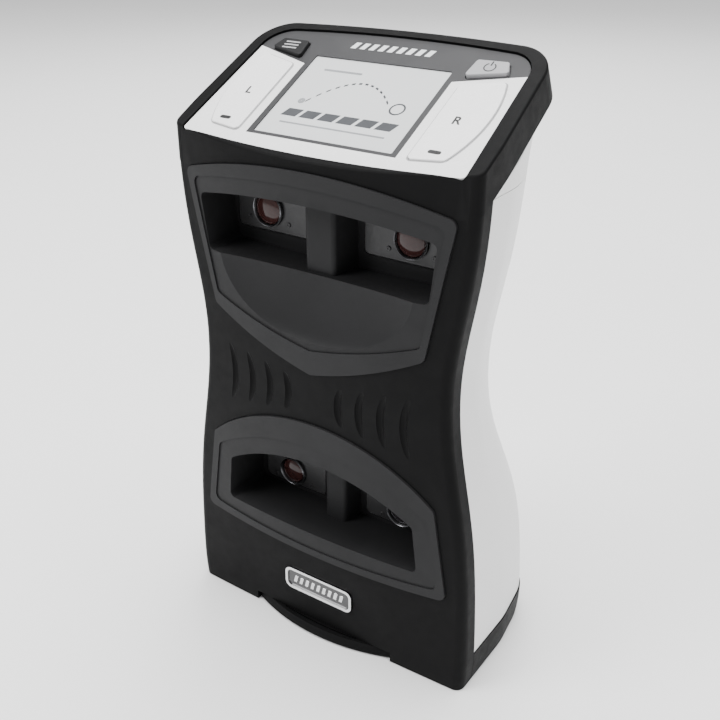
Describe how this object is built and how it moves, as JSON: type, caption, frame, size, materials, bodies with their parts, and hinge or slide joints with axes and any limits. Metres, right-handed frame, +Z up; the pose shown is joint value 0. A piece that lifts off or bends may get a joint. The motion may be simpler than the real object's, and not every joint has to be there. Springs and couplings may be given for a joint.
{
  "type": "golf launch monitor",
  "caption": "Upright golf launch monitor with dark camera windows above and below a waisted grip, a tilted display console with keys, and a removable base battery.",
  "frame": {"origin": "centre of the bounding box in plan, on the ground plane under the feet", "axes": "+X to the viewer's right when facing the camera windows, +Y to the back, +Z up"},
  "size_m": [0.178, 0.1036, 0.3135],
  "materials": {
    "case_black": "fine texture",
    "case_white": "satin",
    "bezel_grey": "satin",
    "console_grey": "satin",
    "console_white": "gloss",
    "key_grey": "satin",
    "screen": "lit display",
    "lens_glass": "coated",
    "camera_black": "anodised black",
    "led_dark": "infrared window",
    "chrome": "polished",
    "badge_dark": "gloss",
    "board_green": "solder mask",
    "aluminium": "milled",
    "steel": "bright",
    "brass": "turned",
    "rubber": "moulded",
    "key_white": "gloss"
  },
  "bodies": {
    "case": {"badge_frame": "chrome", "badge_plate": "badge_dark", "base_tray": "case_black", "battery_contacts": "brass", "camera_boards": "board_green", "case_screws": "steel", "chassis": "aluminium", "console_cover": "console_white", "data_port": "steel", "display_board": "board_green", "display_panel": "aluminium", "display_surround": "console_grey", "display_window": "screen", "feet": "rubber", "front_shell": "case_black", "head_shell": "case_white", "key_domes": "rubber", "keypad_board": "board_green", "lamp_array": "led_dark", "lens_glass": "lens_glass", "lower_bezel": "bezel_grey", "lower_left_camera": "camera_black", "lower_left_lens_barrel": "camera_black", "lower_right_camera": "camera_black", "lower_right_lens_barrel": "camera_black", "lower_shroud": "bezel_grey", "main_board": "board_green", "port_board": "board_green", "port_hinge_pin": "steel", "power_jack": "camera_black", "rear_shell": "case_white", "standoffs": "brass", "tripod_bush": "brass", "upper_bezel": "bezel_grey", "upper_left_camera": "camera_black", "upper_left_lens_barrel": "camera_black", "upper_right_camera": "camera_black", "upper_right_lens_barrel": "camera_black", "upper_shroud": "bezel_grey"},
    "battery": {"battery_pack": "case_black"},
    "port_flap": {"port_cover": "rubber"},
    "left_key": {"left_key": "key_white"},
    "right_key": {"right_key": "key_white"},
    "menu_button": {"menu_button": "bezel_grey"},
    "power_button": {"power_button": "key_grey"}
  },
  "joints": [
    {"name": "left_key_press", "type": "slide", "parent": "case", "child": "left_key", "axis": [0, 0.4617, -0.887], "range_m": [0, 0.0008], "stiffness_N_per_m": 600, "springref_m": -0.001},
    {"name": "right_key_press", "type": "slide", "parent": "case", "child": "right_key", "axis": [0, 0.4617, -0.887], "range_m": [0, 0.0008], "stiffness_N_per_m": 600, "springref_m": -0.001},
    {"name": "menu_button_press", "type": "slide", "parent": "case", "child": "menu_button", "axis": [0, 0.4617, -0.887], "range_m": [0, 0.0008], "stiffness_N_per_m": 400, "springref_m": -0.001},
    {"name": "power_button_press", "type": "slide", "parent": "case", "child": "power_button", "axis": [0, 0.4617, -0.887], "range_m": [0, 0.0008], "stiffness_N_per_m": 400, "springref_m": -0.001},
    {"name": "battery_slide", "type": "slide", "parent": "case", "child": "battery", "axis": [0, -1, 0], "range_m": [0, 0.008]},
    {"name": "port_flap_hinge", "type": "hinge", "parent": "case", "child": "port_flap", "pos_m": [0, 0.0468, 0.034], "axis": [-1, 0, 0], "range_deg": [0, 90]}
  ]
}
